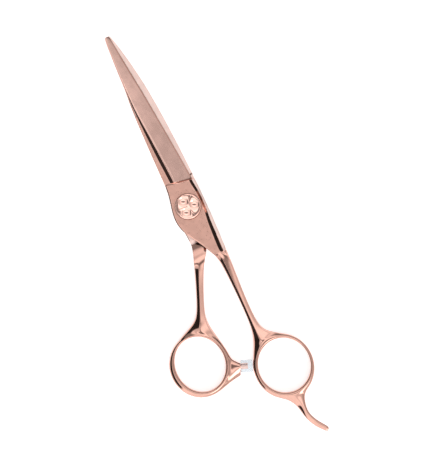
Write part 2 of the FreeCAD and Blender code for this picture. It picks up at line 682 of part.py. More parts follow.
def bumper():
    """The soft stop: a short round block with softened rims, moulded over its stud."""
    ends = [(BUMPER_R - inset, drop) for inset, drop in rounded(BUMPER_ROUND)]
    profile = [(0, 0)] + ends + [(radius, BUMPER_LENGTH - drop) for radius, drop in reversed(ends)] + [(0, BUMPER_LENGTH)]
    body = turned(profile)
    body.rotate(Vector(0, 0, 0), Vector(0, 1, 0), 90)
    body.rotate(Vector(0, 0, 0), Vector(0, 0, 1), BUMPER_HEADING)
    body.translate(Vector(*bumper_seat(), RIDE_Z))
    return pick(body.cut(bumper_rod(STUD_R, -OVER, OVER + STUD_IN_BUMPER)))


def bumper_stud():
    return bumper_rod(STUD_R, -STUD_IN_BOSS, STUD_IN_BOSS + STUD_IN_BUMPER)


NODES = {
    "finger_half": finger_half,
    "thumb_half": thumb_half,
    "pivot_bolt": pivot_bolt,
    "lower_race": lambda: race(RACE_LOW),
    "upper_race": lambda: race(RACE_TOP - RACE_THICK),
    "bearing_balls": bearing_balls,
    "bearing_cage": bearing_cage,
    "pivot_bush": pivot_bush,
    "dial_washer": dial_washer,
    "tension_spring": tension_spring,
    "detent_plate": detent_plate,
    "click_balls": click_balls,
    "click_springs": click_springs,
    "tension_dial": tension_dial,
    "dial_nut": dial_nut,
    "bumper": bumper,
    "bumper_stud": bumper_stud,
}

os.makedirs("parts", exist_ok=True)
for name, make in NODES.items():
    make().exportStep(f"parts/{name}.step")
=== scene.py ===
import math

import bmesh
import bpy
from mathutils import Matrix, Vector


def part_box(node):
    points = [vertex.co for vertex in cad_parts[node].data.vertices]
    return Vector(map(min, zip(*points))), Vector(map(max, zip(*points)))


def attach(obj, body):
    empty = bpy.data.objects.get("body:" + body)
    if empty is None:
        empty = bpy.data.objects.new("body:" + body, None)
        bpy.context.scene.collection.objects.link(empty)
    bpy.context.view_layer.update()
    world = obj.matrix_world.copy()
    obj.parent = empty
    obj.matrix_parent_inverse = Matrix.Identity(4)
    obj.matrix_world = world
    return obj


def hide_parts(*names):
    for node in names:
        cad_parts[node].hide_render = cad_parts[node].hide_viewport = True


bl_info = {
    "name": "Hair Cutting Shears",
    "version": (1, 0, 0),
    "blender": (4, 5, 0),
    "location": "View3D > Sidebar > Shears",
    "description": "Models rose gold hair cutting shears: two forged halves, a click dial and a clear bumper",
    "category": "Add Mesh",
}

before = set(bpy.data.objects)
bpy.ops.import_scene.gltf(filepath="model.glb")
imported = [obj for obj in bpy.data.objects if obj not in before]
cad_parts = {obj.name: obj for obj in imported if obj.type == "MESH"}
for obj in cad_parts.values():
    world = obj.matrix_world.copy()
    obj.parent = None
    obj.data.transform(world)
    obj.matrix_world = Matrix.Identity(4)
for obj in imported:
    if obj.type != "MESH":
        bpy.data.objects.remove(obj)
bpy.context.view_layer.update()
MM = 0.001


def mm(value):
    return value / MM


# ---------------------------------------------------------------- measures read from the frame
RIDE_Z = mm((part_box("bearing_balls")[0].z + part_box("bearing_balls")[1].z) / 2)
DIAL_LOW = mm(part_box("tension_dial")[0].z)
FLAT_Z = DIAL_LOW + 0.35  # the dial's seat is let this far into the pivot flat
DIAL_TOP = mm(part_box("tension_dial")[1].z)
DIAL_R = mm(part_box("tension_dial")[1].x)
RING_HALF_DEPTH = mm(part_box("finger_half")[1].z) - RIDE_Z
HEAD_R = mm(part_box("pivot_bolt")[1].x)


class ShearsSizes(bpy.types.PropertyGroup):
    """Sizes in millimetres that a user would change."""

    inner_gap: bpy.props.FloatProperty(
        name="Inner gap", description="Half the air between the two blades", default=0.05, min=0.0, unit="NONE")
    flat_height: bpy.props.FloatProperty(
        name="Flat height", description="Height of a pivot flat above the ride plane", default=FLAT_Z - RIDE_Z)
    rib_height: bpy.props.FloatProperty(
        name="Rib height", description="How far the rib stands above the pivot flat", default=0.62)
    crisp: bpy.props.FloatProperty(
        name="Edge crispness", description="Crease of the ground edges", default=0.93, min=0, max=1, subtype="FACTOR")
    smoothness: bpy.props.IntProperty(
        name="Smoothness", description="Subdivision levels of the forged halves", default=3, min=1, max=4)
    well_radius: bpy.props.FloatProperty(
        name="Well radius", description="Radius of a finger well on the dial", default=1.85)
    well_depth: bpy.props.FloatProperty(
        name="Well depth", description="Depth of a finger well on the dial", default=0.33)


class ShearsColours(bpy.types.PropertyGroup):
    """Colours of the finishes."""

    rose: bpy.props.FloatVectorProperty(
        name="Rose gold", description="Colour of the coating", subtype="COLOR", size=4,
        default=(0.86, 0.5, 0.41, 1.0), min=0, max=1)
    steel: bpy.props.FloatVectorProperty(
        name="Steel", description="Colour of the bare steel parts", subtype="COLOR", size=4,
        default=(0.56, 0.56, 0.57, 1.0), min=0, max=1)
    silicone: bpy.props.FloatVectorProperty(
        name="Silicone", description="Colour of the clear bumper", subtype="COLOR", size=4,
        default=(0.86, 0.93, 0.98, 1.0), min=0, max=1)
    floor: bpy.props.FloatVectorProperty(
        name="Floor", description="Colour of the floor", subtype="COLOR", size=4,
        default=(0.9, 0.9, 0.9, 1.0), min=0, max=1)


# ---------------------------------------------------------------- shader helpers
class Socket:
    """Wraps a node socket, so that shader maths reads as an expression."""

    def __init__(self, tree, socket):
        self.tree = tree
        self.socket = socket

    def _maths(self, operation, *values):
        return self.tree.node("ShaderNodeMath", {"operation": operation}, dict(enumerate(values)))

    def __add__(self, other):
        return self._maths("ADD", self, other)

    __radd__ = __add__

    def __mul__(self, other):
        return self._maths("MULTIPLY", self, other)

    __rmul__ = __mul__

    def __sub__(self, other):
        return self._maths("SUBTRACT", self, other)

    def __rsub__(self, other):
        return self._maths("SUBTRACT", other, self)

    def __truediv__(self, other):
        return self._maths("DIVIDE", self, other)


class Tree:
    """The node tree of a material or of the world."""

    def __init__(self, owner, shader="Principled BSDF"):
        owner.use_nodes = True
        self.owner = owner
        self.nodes = owner.node_tree.nodes
        self.links = owner.node_tree.links
        self.shader = self.nodes[shader]

    def node(self, kind, settings=None, inputs=None, output=0):
        """Any node: its settings first, then the values or links of its sockets."""
        made = self.nodes.new(kind)
        for key, value in (settings or {}).items():
            setattr(made, key, value)
        for key, value in (inputs or {}).items():
            self.feed(made.inputs[key], value)
        return Socket(self, made.outputs[output])

    def feed(self, target, value):
        if isinstance(value, Socket):
            self.links.new(value.socket, target)
        else:
            target.default_value = value

    def set(self, **sockets):
        for key, value in sockets.items():
            self.feed(self.shader.inputs[key.replace("_", " ")], value)

    def place(self, stretch=(1.0, 1.0, 1.0)):
        """Object coordinates in millimetres, stretched."""
        where = self.node("ShaderNodeTexCoord", output="Object")
        scale = tuple(part / MM for part in stretch)
        return self.node("ShaderNodeMapping", None, {"Vector": where, "Scale": scale})

    def noise(self, where, scale, detail):
        return self.node("ShaderNodeTexNoise", None, {"Vector": where, "Scale": scale, "Detail": detail})

    def fit(self, value, low, high, to_low=0.0, to_high=1.0):
        """Maps a value softly from one range to another, and holds it there."""
        return self.node("ShaderNodeMapRange", {"clamp": True, "interpolation_type": "SMOOTHSTEP"}, {
            "Value": value, "From Min": low, "From Max": high, "To Min": to_low, "To Max": to_high})

    def axes(self, vector):
        """The three parts of a vector."""
        split = self.node("ShaderNodeSeparateXYZ", None, {"Vector": vector})
        return [Socket(self, output) for output in split.socket.node.outputs]

    def mix(self, share, first, second):
        """Mixes two colours."""
        made = self.nodes.new("ShaderNodeMix")
        made.data_type = "RGBA"
        self.feed(made.inputs["Factor"], share)
        self.feed(made.inputs[6], first)
        self.feed(made.inputs[7], second)
        return Socket(self, made.outputs[2])

    def bump(self, height, strength, distance):
        return self.node("ShaderNodeBump", None, {"Height": height, "Strength": strength, "Distance": distance})


# ---------------------------------------------------------------- modelling helpers
WELD = 0.001  # corners nearer than this are one


def nothing():
    """Leaves no object selected."""
    if bpy.context.object and bpy.context.object.mode != "OBJECT":
        bpy.ops.object.mode_set(mode="OBJECT")
    bpy.ops.object.select_all(action="DESELECT")


def only(obj):
    """Leaves one object selected and active."""
    nothing()
    obj.select_set(True)
    bpy.context.view_layer.objects.active = obj


def named(name):
    """Names the object that was just added, and its mesh."""
    obj = bpy.context.object
    obj.name = name
    obj.data.name = name
    return obj


def settle(obj):
    """Puts the object's place, turn and size into its mesh."""
    only(obj)
    bpy.ops.object.transform_apply(location=True, rotation=True, scale=True)
    return obj


def apply_modifier(obj, kind, **settings):
    only(obj)
    modifier = obj.modifiers.new(kind.title(), kind)
    for key, value in settings.items():
        setattr(modifier, key, value)
    bpy.ops.object.modifier_apply(modifier=modifier.name)


def carve(obj, cutter):
    """Cuts one object out of another, and stops if nothing is left of it."""
    apply_modifier(obj, "BOOLEAN", object=cutter, operation="DIFFERENCE", solver="EXACT")
    if not obj.data.polygons:
        raise RuntimeError(f"nothing is left of {obj.name} after {cutter.name}")
    bpy.data.objects.remove(cutter)


def smooth(obj, degrees):
    only(obj)
    bpy.ops.object.shade_smooth_by_angle(angle=math.radians(degrees))


def recalculate(obj):
    """Welds doubled corners and turns every face outwards."""
    only(obj)
    bpy.ops.object.mode_set(mode="EDIT")
    bpy.ops.mesh.select_all(action="SELECT")
    bpy.ops.mesh.remove_doubles(threshold=WELD * MM)
    bpy.ops.mesh.normals_make_consistent(inside=False)
    bpy.ops.object.mode_set(mode="OBJECT")


def round_bar(name, radius, low, high, vertices):
    """An upright round bar on the pivot axis, in millimetres."""
    nothing()
    bpy.ops.mesh.primitive_cylinder_add(vertices=vertices, radius=radius * MM, depth=(high - low) * MM,
                                        location=(0, 0, (low + high) / 2 * MM))
    return settle(named(name))


# ---------------------------------------------------------------- the forged halves
# A half is modelled in its own frame: spine on the left, outer face up, ride plane at height zero.
# Its section is a loop of fourteen points, called roles: 0-1 left side, 2-6 top, 7-8 right side, 9-13 bottom.
COLUMNS = 4  # faces across the patch of ring wall that the shank grows from
ROWS = 3  # faces down the patch
EDGE_LIP = 0.04  # height of the cutting edge above the gap
SPINE_ROUND = 0.22  # height of the round where the spine meets the strip
STRIP_ROUND = 0.16  # its width at the most
RIDGE_ROUND = 0.03  # how far the land falls to the ridge, and the middle of the face bulges
EDGE_GRIND = (0.05, 0.13, 0.45)  # flat ground along the cutting edge: least, share of the blade's width, most
EDGE_RISE = 0.52  # height of that flat as a share of its width
HOLLOW_SHARE = 0.02  # depth of the hollow inner face as a share of the blade's width
HOLLOW_MOST = 0.14
FLAT_ROUND = 0.2  # height of the round along the left edge of the pivot flat
RIB_ROUND = 0.3  # the same along the right edge of the rib
SLANT_FROM = 2.7  # the slanted shoulder crosses its own y this far from the left edge


def blade_section(y, spine, edge, strip, bevel, land, strip_z, land_z, slant=0.0):
    """One station of the ground blade between its spine and its edge; the rest is as in GRIND."""
    sizes = bpy.context.scene.shears_sizes
    gap = sizes.inner_gap
    ridge = spine + strip + bevel + land
    width = edge - spine
    least, share, most = EDGE_GRIND
    ground = min(most, least + share * width)
    near = edge - ground
    near_z = gap + EDGE_LIP + EDGE_RISE * ground
    middle = (ridge + near) / 2
    hollow = min(HOLLOW_MOST, HOLLOW_SHARE * width)
    points = [(spine, gap), (spine, strip_z - SPINE_ROUND), (spine + min(STRIP_ROUND, 0.6 * strip), strip_z),
              (spine + strip, strip_z), (spine + strip + bevel, land_z), (ridge, land_z - RIDGE_ROUND),
              (middle, (land_z + near_z) / 2 + RIDGE_ROUND), (near, near_z), (edge, gap + EDGE_LIP),
              (edge - 0.12 * width, gap), (edge - 0.35 * width, gap + hollow), (spine + 0.35 * width, gap + hollow),
              (spine + 0.13 * width, gap), (spine + 0.07 * width, gap)]
    return [Vector((x, y + slant * (x - spine - strip), z)) for x, z in points]


def flat_section(y, left, right, foot, rim, bottom=None, slant=0.0):
    """One station of the pivot flat with its rib, from foot to rim; bottom lists five points from right to left."""
    sizes = bpy.context.scene.shears_sizes
    gap = sizes.inner_gap
    flat = sizes.flat_height
    high = flat + sizes.rib_height
    width = foot - left
    upper = [(left + 0.3, flat), (left + 0.45 * width, flat), (left + 0.62 * width, flat), (foot, flat), (rim, high)]
    if bottom is None:
        bottom = [(right - 0.2, gap), (right - 0.3 * width, gap), (left + 0.6 * width, gap),
                  (left + 0.35 * width, gap), (left + 0.12 * width, gap)]
        right_low = gap
    else:
        right_low = bottom[0][1] * 0.9 + gap * 0.1
    points = [(left, gap), (left, flat - FLAT_ROUND)] + upper + [(right, high - RIB_ROUND), (right, right_low)]
    return [Vector((x, y + slant * (x - left - SLANT_FROM), z)) for x, z in points + bottom]


def shank_section(left, right, half, crown=0.42, lean=0.78, far=0.86, bow=0.0):
    """One station of the shank between two plan points: a roof with its ridge at the crown's share across.

    lean and far are the heights of the left and the right shoulder against the ridge, and bow lifts the middle of
    the station away from the ring.
    """
    left = Vector((left[0], left[1], 0))
    right = Vector((right[0], right[1], 0))
    across = right - left
    out = Vector((-across.y, across.x, 0)).normalized()
    shares = [0.1, (0.1 + crown) / 2, crown, (crown + 0.9) / 2, 0.9]
    heights = [lean, (lean + 1) / 2, 1.0, (1 + far) / 2 + 0.01, far]

    def at(share, height):
        lift = bow * 4 * share * (1 - share)
        return left + across * share + out * lift + Vector((0, 0, height * half))

    top = [at(share, height) for share, height in zip(shares, heights)]
    bottom = [at(share, -height) for share, height in zip(shares, heights)][::-1]
    return [at(0, -0.45 * lean), at(0, 0.45 * lean)] + top + [at(1, 0.5 * far), at(1, -0.5 * far)] + bottom


def grid(points, columns):
    """Spreads a section's loop over the patch: (column, row) to its point, rows from top to bottom."""
    top = points[2:3 + columns]
    right = points[3 + columns:5 + columns]
    bottom = points[5 + columns:][::-1]
    left = [points[1], points[0]]
    places = {}
    for column in range(columns + 1):
        for row in range(ROWS + 1):
            places[column, row] = top[column].lerp(bottom[column], row / ROWS)
    for row in range(1, ROWS):
        places[0, row] = left[row - 1]
        places[columns, row] = right[row - 1]
    return places


PLACES = 10  # a patch place is PLACES * column + row + 1
RIM = 10  # corners of a ring's section
RIM_ROWS = (2, 1, 0, 9)  # those on its outer side, from top to bottom
RIM_SHARES = (0.0, 0.0, 0.08, 0.52, 0.9, 1.0, 1.0, 0.9, 0.52, 0.08)  # how far each corner is from outside to inside
CAGE_SWELL = 1.012  # a cage is this much larger than the ring that it smooths to
CROWN_SWELL = 1.005  # and this much taller
SHOULDER_FALL = 0.27  # how far the rim falls outwards from its ridge, as a share of its width
LIP_FALL = 0.08  # and inwards
WAIST = 0.45  # height of the upright wall as a share of the half depth


def ring_cage(name, centre, half, hole, hole_half, angles, depth):
    """The control cage of a finger ring: a torus whose tall section has a soft ridge above and below.

    centre and half give the outer oval, hole and hole_half the inner one, and angles the places of the sections.
    The torus has only the right corners and faces: each corner is then put in its place.
    """
    nothing()
    bpy.ops.mesh.primitive_torus_add(major_segments=len(angles), minor_segments=RIM, major_radius=10 * MM,
                                     minor_radius=1 * MM)
    obj = named(name)
    for index, angle in enumerate(angles):
        turn = math.radians(angle)
        way = Vector((math.cos(turn), math.sin(turn)))
        outer = Vector((centre[0] + half[0] * CAGE_SWELL * way.x, centre[1] + half[1] * CAGE_SWELL * way.y, 0))
        inner = Vector((hole[0] + hole_half[0] * CAGE_SWELL * way.x, hole[1] + hole_half[1] * CAGE_SWELL * way.y, 0))
        width = (outer - inner).length
        crown = depth * CROWN_SWELL
        shoulder = crown - SHOULDER_FALL * width
        lip = crown - LIP_FALL * width
        waist = depth * WAIST
        heights = (-waist, waist, shoulder, crown, lip, waist, -waist, -lip, -crown, -shoulder)
        for corner, (share, height) in enumerate(zip(RIM_SHARES, heights)):
            place = outer.lerp(inner, share) + Vector((0, 0, height))
            obj.data.vertices[index * RIM + corner].co = place * MM
    return obj


def grow(obj, patch, stations, columns, lifts):
    """Extrudes a patch of the ring's outer wall through its stations.

    patch lists the ring's sections from left to right, and lifts the heights of those between its ends as shares of
    the ring's half depth. A station is its loop, the creases along the lines that lead to it by role, the crease
    across it, and the finish of the side faces behind it by their first role.
    """
    only(obj)
    bpy.ops.object.mode_set(mode="EDIT")
    bpy.ops.mesh.select_mode(type="FACE")
    bpy.ops.mesh.select_all(action="DESELECT")
    cage = bmesh.from_edit_mesh(obj.data)
    cage.verts.ensure_lookup_table()
    place = cage.verts.layers.int.get("place") or cage.verts.layers.int.new("place")
    crease = cage.edges.layers.float.get("crease_edge") or cage.edges.layers.float.new("crease_edge")
    marked = set()
    for column, segment in enumerate(patch):
        for row, corner in enumerate(RIM_ROWS):
            vert = cage.verts[segment * RIM + corner]
            vert[place] = PLACES * column + row + 1
            marked.add(vert)
            if 0 < column < columns and row in (0, ROWS):
                vert.co.z *= lifts[column - 1] * RING_HALF_DEPTH * MM / abs(vert.co.z)
    for face in cage.faces:
        face.select = all(vert in marked for vert in face.verts)
    bmesh.update_edit_mesh(obj.data)
    for loop, along, across, finishes in stations:
        bpy.ops.mesh.extrude_region_move()
        cage = bmesh.from_edit_mesh(obj.data)
        place = cage.verts.layers.int["place"]
        crease = cage.edges.layers.float["crease_edge"]
        places = grid(loop, columns)
        chosen = [vert for vert in cage.verts if vert.select]
        for vert in chosen:
            vert.co = places[divmod(vert[place] - 1, PLACES)] * MM
        for vert in chosen:
            for edge in vert.link_edges:
                other = edge.other_vert(vert)
                role = outline_role(vert[place], columns)
                if not other.select:
                    edge[crease] = along.get(role, 0.0)
                    continue
                edge[crease] = across
                other_role = outline_role(other[place], columns)
                if (role + 1) % (2 * (columns + ROWS)) == other_role and role >= 0:
                    for face in edge.link_faces:
                        if not face.select:
                            face.material_index = finishes.get(role, 0)
        bmesh.update_edit_mesh(obj.data)
    for vert in cage.verts:
        vert[place] = 0
    bmesh.update_edit_mesh(obj.data)
    bpy.ops.object.mode_set(mode="OBJECT")


def outline_role(place, columns):
    """Which point of the section loop a patch place is, or -1 inside the patch."""
    column, row = divmod(place - 1, PLACES)
    if row == 0:
        return 2 + column
    if row == ROWS:
        return 5 + columns + (columns - column)
    if column == 0:
        return 1 if row == 1 else 0
    if column == columns:
        return 3 + columns if row == 1 else 4 + columns
    return -1


# roles whose lines are crisp on the ground blade and on the milled flat
GROUND = (0, 1, 2, 3, 4, 5, 7, 8, 9, 13)
MILLED = (0, 1, 2, 5, 6, 7, 8, 9, 12, 13)

# blade stations from the heel to the tip: y, strip, bevel and land widths, strip and land heights
GRIND = [
    (10.35, 2.10, 1.35, 0.55, 2.18, 2.80),
    (12.5, 2.00, 1.35, 0.6, 2.17, 2.80),
    (20.0, 1.55, 1.3, 0.6, 2.08, 2.72),
    (30.0, 1.05, 1.0, 0.5, 1.95, 2.45),
    (38.0, 0.78, 0.5, 0.45, 1.82, 2.15),
    (44.5, 0.45, 0.35, 0.4, 1.74, 1.90),
    (47.5, 0.2, 0.22, 0.35, 1.70, 1.75),
    (57.0, 0.15, 0.15, 0.25, 1.38, 1.41),
    (65.0, 0.12, 0.12, 0.2, 1.04, 1.06),
    (68.4, 0.1, 0.1, 0.15, 0.85, 0.87),
    (69.18, 0.08, 0.08, 0.1, 0.60, 0.61),
]
FINGER_SPINE = (-4.45, -4.42, -4.30, -4.00, -3.80, -3.35, -2.88, -2.50, -1.98, -1.70, -1.25)
FINGER_EDGE = (5.75, 5.52, 5.00, 4.12, 3.45, 2.88, 2.55, 1.50, 0.72, 0.42, 0.02)
THUMB_SPINE = (-6.60, -6.56, -6.40, -6.00, -5.50, -4.95, -4.65, -3.35, -1.68, -0.85, -0.35)
THUMB_EDGE = (3.90, 3.75, 3.40, 3.10, 2.85, 2.50, 2.20, 1.75, 1.35, 1.15, 0.70)
SHOULDER_SLANT = -0.18

# the finishes of a half, and their places in its list of materials; the polish is darkened as painted shade, and the
# inner face is made paler and brighter as a painted highlight
HALF_FINISHES = ("rose_polish", "rose_satin", "rose_bevel", "rose_ground", "rose_inner")
SATIN, BEVEL, FACE, INNER = 1, 2, 3, 4

# which finish a side face has, by the first role of its edge; the others are polished
UNDERSIDE = dict.fromkeys(range(9, 14), INNER)
BLADE_FINISH = {2: SATIN, 3: BEVEL, 4: FACE, 5: FACE, 6: FACE, **UNDERSIDE}
TIP_FINISH = {**BLADE_FINISH, 1: FACE, 2: FACE, 3: FACE}
TIP_FIRST = 5  # the first blade station of the tip, where the strip and the bevel run out
SHOULDER_FINISH = dict.fromkeys(range(2, 8), BEVEL)
NECK_FINISH = {2: SATIN, 3: SATIN, 4: SATIN, 6: INNER}
FLAT_FINISH = {**NECK_FINISH, **UNDERSIDE}
FLAT_FIRST = 6  # the first milled station whose underside is the inner face


def blade_stations(spine, edge):
    """The blade, from the foot of its shoulder to the tip."""
    crisp = bpy.context.scene.shears_sizes.crisp
    made = []
    for number, ((y, *grind), spine_x, edge_x) in enumerate(zip(GRIND, spine, edge)):
        slant = SHOULDER_SLANT if number == 0 else 0.0
        across = crisp if number in (0, len(GRIND) - 1) else 0.0
        finishes = SHOULDER_FINISH if number == 0 else TIP_FINISH if number >= TIP_FIRST else BLADE_FINISH
        loop = blade_section(y, spine_x, edge_x, *grind, slant=slant)
        made.append((loop, dict.fromkeys(GROUND, crisp), across, finishes))
    return made


SHANK_CREASES = {2: 0.55, 4: 0.7, 6: 0.5, 9: 0.5, 11: 0.7, 13: 0.55}
NECK_LOW = -0.7  # height of the lower left corner where the shank runs into the flat
NECK_STATIONS = 2  # milled stations that have it


def milled_stations(flats, shoulder):
    """The pivot flat from the swell of the shank up to the shoulder of the blade."""
    crisp = bpy.context.scene.shears_sizes.crisp
    made = []
    for number, (y, left, foot, rim, right, bottom) in enumerate(flats):
        loop = flat_section(y, left, right, foot, rim, bottom)
        if number < NECK_STATIONS:
            loop[0].z = NECK_LOW
        edges = dict.fromkeys(MILLED, crisp) if number else SHANK_CREASES
        made.append((loop, edges, 0.0, FLAT_FINISH if number >= FLAT_FIRST else NECK_FINISH if number else {}))
    made.append((flat_section(*shoulder, slant=SHOULDER_SLANT), dict.fromkeys(MILLED, crisp), crisp, FLAT_FINISH))
    return made


def finger_half_stations():
    """From the finger ring up the shank, over the pivot flat and out to the tip."""
    gap = bpy.context.scene.shears_sizes.inner_gap
    shank = [
        shank_section((0.0, -56.3), (8.6, -54.75), 2.76, 0.33, 0.6, 0.84, bow=-0.1),
        shank_section((1.3, -53.2), (5.95, -52.6), 2.6, 0.38, 0.7, 0.86),
        shank_section((2.05, -49.0), (4.92, -48.8), 2.44, 0.36, 0.8, 0.88),
        shank_section((2.3, -41.0), (4.95, -41.0), 2.38, 0.35, 0.82, 0.88),
        shank_section((2.25, -32.0), (5.45, -32.0), 2.42, 0.34, 0.81, 0.88),
        shank_section((2.05, -25.5), (5.95, -25.5), 2.55, 0.33, 0.80, 0.88),
        shank_section((1.65, -22.3), (6.08, -22.3), 2.68, 0.38, 0.84, 0.92),
    ]
    flats = [
        (-20.3, 1.15, 3.55, 4.95, 6.12, [(5.6, -2.2), (4.6, -2.68), (3.5, -2.72), (2.4, -2.5), (1.55, -1.7)]),
        (-18.6, 0.35, 3.45, 5.0, 6.15, [(5.6, -2.1), (4.4, -2.5), (3.0, -2.5), (1.6, -2.3), (0.7, -1.6)]),
        (-16.9, -0.45, 3.45, 5.1, 6.2, [(5.8, -1.7), (4.2, -2.05), (1.5, -2.0), (0.9, -1.9), (0.3, gap)]),
        (-15.2, -1.3, 3.6, 5.15, 6.28, [(5.9, -0.95), (4.3, -1.05), (2.0, -1.0), (1.85, gap), (0.2, gap)]),
        (-13.6, -2.2, 3.7, 5.18, 6.35, [(5.9, -0.25), (4.3, -0.25), (3.0, -0.22), (2.85, gap), (0.2, gap)]),
        (-12.3, -2.95, 3.8, 5.2, 6.4, None),
        (-8.0, -5.6, 4.1, 5.3, 6.55, None),
        (-4.0, -6.65, 4.85, 5.75, 6.65, None),
        (0.0, -6.35, 5.18, 6.02, 6.7, None),
        (4.0, -5.35, 4.98, 5.9, 6.7, None),
        (7.2, -4.7, 4.35, 5.5, 6.68, None),
    ]
    made = [(loop, SHANK_CREASES, 0.0, {}) for loop in shank]
    made += milled_stations(flats, (9.75, -4.45, 6.6, 4.45, 5.5))
    return made + blade_stations(FINGER_SPINE, FINGER_EDGE)


def thumb_half_stations():
    """The same for the thumb half, whose shank slants outwards."""
    gap = bpy.context.scene.shears_sizes.inner_gap
    shank = [
        shank_section((11.15, -45.6), (20.3, -41.3), 2.76, 0.52, 0.84, 0.55, bow=0.3),
        shank_section((11.6, -41.0), (15.8, -39.4), 2.56, 0.55, 0.86, 0.7),
        shank_section((10.75, -37.3), (13.75, -36.35), 2.44, 0.58, 0.88, 0.77),
        shank_section((9.15, -33.5), (11.95, -32.4), 2.42, 0.58, 0.88, 0.78),
        shank_section((6.9, -28.2), (9.8, -27.05), 2.45, 0.58, 0.88, 0.78),
        shank_section((4.0, -22.5), (7.68, -21.5), 2.6, 0.55, 0.90, 0.78),
    ]
    flats = [
        (-20.7, 2.85, 4.5, 5.9, 7.35, [(7.3, -2.58), (6.2, -2.62), (5.2, -2.62), (4.2, -2.6), (2.95, -2.55)]),
        (-18.9, 1.65, 3.9, 5.1, 6.65, [(6.6, -2.36), (5.4, -2.4), (4.4, -2.4), (3.0, -2.38), (1.75, -2.34)]),
        (-17.4, 0.5, 3.6, 4.8, 6.1, [(6.05, -2.06), (4.8, -2.1), (3.6, -2.1), (2.0, -2.08), (0.6, -2.05)]),
        (-16.0, 0.4, 3.6, 4.7, 5.6, [(5.55, -1.6), (4.3, -1.64), (2.9, -1.64), (0.95, -1.6), (0.92, gap)]),
        (-14.6, -0.5, 3.6, 4.5, 5.25, [(5.2, -1.0), (4.2, -1.04), (3.0, -1.04), (1.74, -1.0), (1.7, gap)]),
        (-13.4, -1.75, 3.6, 4.4, 5.0, [(4.95, -0.3), (4.2, -0.3), (3.2, -0.3), (2.4, -0.28), (2.36, gap)]),
        (-12.3, -2.95, 3.7, 4.4, 4.95, None),
        (-8.0, -5.3, 3.9, 4.7, 5.3, None),
        (-4.0, -6.25, 4.2, 4.9, 5.75, None),
        (0.0, -6.5, 4.2, 4.8, 5.5, None),
        (4.0, -6.65, 4.15, 4.35, 4.75, None),
        (7.2, -6.65, 3.6, 3.8, 4.15, None),
    ]
    made = [(loop, SHANK_CREASES, 0.0, {}) for loop in shank]
    made += milled_stations(flats, (9.75, -6.6, 3.95, 3.4, 3.6))
    return made + blade_stations(THUMB_SPINE, THUMB_EDGE)


def small_loop(plan):
    """A loop for a narrow patch from its plan points with their half depths, from left to right."""
    top = [Vector(point) for point in plan]
    bottom = [Vector((x, y, -half)) for x, y, half in plan][::-1]
    left, right = top[0], top[-1]
    sides = [[Vector((end.x, end.y, end.z * share)) for share in (-0.5, 0.5)] for end in (left, right)]
    return sides[0] + top + sides[1][::-1] + bottom


def tang_stations():
    """The finger rest: each row goes from left to right across it, with its half depths."""
    rows = [
        ((5.05, -83.1, 1.45), (6.9, -82.6, 2.6), (8.6, -82.4, 2.3)),
        ((5.55, -86.6, 1.3), (6.75, -86.5, 2.1), (7.75, -86.4, 1.85)),
        ((6.35, -90.0, 1.05), (7.5, -89.5, 1.7), (8.45, -89.1, 1.45)),
        ((8.15, -93.4, 0.9), (9.05, -92.55, 1.4), (9.85, -91.9, 1.15)),
        ((10.6, -96.15, 0.8), (11.3, -95.3, 1.1), (11.95, -94.6, 0.95)),
        ((11.35, -96.75, 0.6), (11.85, -96.2, 0.8), (12.35, -95.7, 0.7)),
    ]
    return [(small_loop(row), {}, 0.0, {}) for row in rows]


def boss_stations():
    """The corner that carries the bumper, in the thumb half's own frame: its face falls away from the upper edge."""
    near = ((8.65, -58.6, 2.5), (9.4, -61.2, 2.75), (10.6, -63.7, 1.95), (13.0, -65.0, 1.3))
    far = ((7.15, -60.3, 2.35), (7.75, -61.6, 2.6), (8.35, -63.1, 2.0), (8.95, -64.5, 1.4))
    return [(small_loop(near), {2: 0.5, 3: 0.8}, 0.0, {}), (small_loop(far), {2: 0.5, 3: 0.8}, 0.85, {})]


def coat_half(obj):
    """Gives a piece the finishes of a half, in their order."""
    for name in HALF_FINISHES:
        obj.data.materials.append(finish(name))


def finish_half(obj, flipped):
    """Smooths a cage and sets it in the frame; the thumb half lies outer face down."""
    sizes = bpy.context.scene.shears_sizes
    coat_half(obj)
    apply_modifier(obj, "SUBSURF", levels=sizes.smoothness, render_levels=sizes.smoothness, use_creases=True)
    if flipped:
        obj.data.transform(Matrix.Rotation(math.pi, 4, "Y"))
    obj.data.transform(Matrix.Translation((0, 0, RIDE_Z * MM)))
    recalculate(obj)


def seat(obj, radius, low, high):
    """Bores a polished round seat on the pivot axis."""
    cutter = round_bar("seat_cutter", radius, low, high, vertices=96)
    coat_half(cutter)
    carve(obj, cutter)


# sizes of the small features in millimetres, and turns in degrees
SEAT_CLEARANCE = 0.22  # air round the dial in its seat
SEAT_DEPTH = 0.15  # and below it
HEAD_CLEARANCE = 0.05  # air round the bolt's head
HEAD_TOP = 1.2  # height of the head's seat
THROUGH = 2.0  # how far a seat's cutter goes past the outer face
WELLS = 3
WELL_PITCH = 2.42  # radius of the circle on which the wells lie
FIRST_WELL = 111
CAVITY_R = 4.0  # the cavity under the dial
CAVITY_DEPTH = 0.9
DIAL_ROLL = 0.34  # width of the roll on the dial's edges
BUMPER_R = 2.35
BUMPER_HALF = 2.2
BORE_R = 0.8  # the bore for the stud
BORE_END = 0.4  # how far the bore goes past the bumper's middle
BUMPER_ROLL = 0.5
BUMPER_TURN = -21.7


